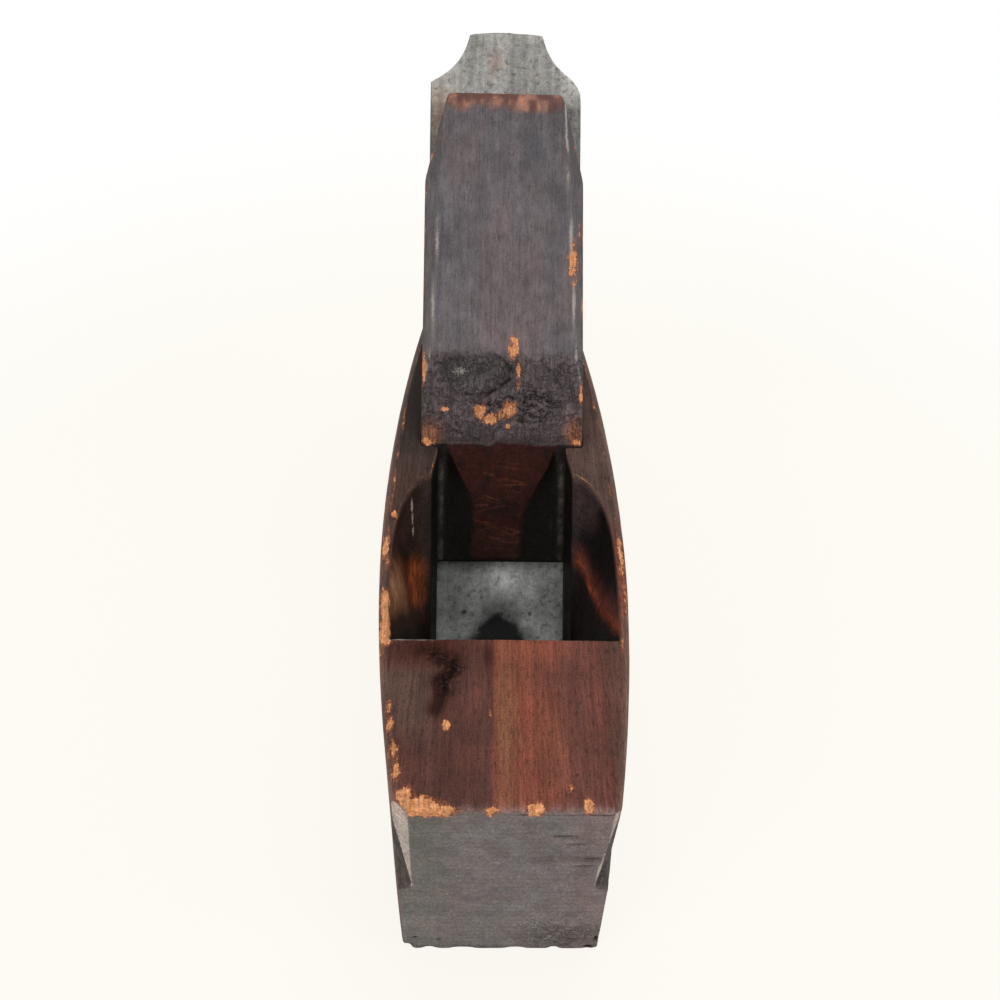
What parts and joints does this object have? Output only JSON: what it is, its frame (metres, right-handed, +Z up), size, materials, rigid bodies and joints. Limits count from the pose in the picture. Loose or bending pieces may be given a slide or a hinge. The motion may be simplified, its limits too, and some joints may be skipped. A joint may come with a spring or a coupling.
{
  "type": "wooden smoothing plane",
  "caption": "Coffin-shaped wooden smoothing plane: a one-piece stock with an open throat, a double iron on a sloping bed and a dark wedge that holds it.",
  "frame": {"origin": "middle of the sole, on the sole's face", "axes": "+Z up from the sole, +Y from the toe to the heel, +X to the right when the toe is nearest the viewer"},
  "size_m": [0.0618, 0.2108, 0.1398],
  "materials": {
    "stock_wood": "old dark red-brown oiled finish, worn to bare wood at the edges",
    "wedge_wood": "old dark stain, matt, worn to bare wood at the edges",
    "iron_steel": "dull grey forged steel with fine pits",
    "cap_steel": "dull grey steel with dark specks",
    "nut_brass": "tarnished",
    "screw_steel": "darkened steel"
  },
  "bodies": {
    "stock": {"stock": "stock_wood"},
    "cutting_iron": {"cutting_iron": "iron_steel"},
    "cap_iron": {"cap_iron": "cap_steel", "cap_nut": "nut_brass"},
    "cap_screw": {"cap_screw": "screw_steel"},
    "wedge": {"wedge": "wedge_wood"}
  },
  "joints": [
    {"name": "iron_draw", "type": "slide", "parent": "stock", "child": "cutting_iron", "axis": [0, 0.7071, 0.7071], "range_m": [-0.0008, 0.085]},
    {"name": "cap_set", "type": "slide", "parent": "cutting_iron", "child": "cap_iron", "axis": [0, 0.7071, 0.7071], "range_m": [0, 0.045]},
    {"name": "wedge_draw", "type": "slide", "parent": "cap_iron", "child": "wedge", "axis": [0, 0.7071, 0.7071], "range_m": [0, 0.075]},
    {"name": "screw_turn", "type": "hinge", "parent": "cap_iron", "child": "cap_screw", "pos_m": [0.0004, 0.02671, 0.04811], "axis": [0, -0.7071, 0.7071], "range_deg": [0, 450]}
  ]
}
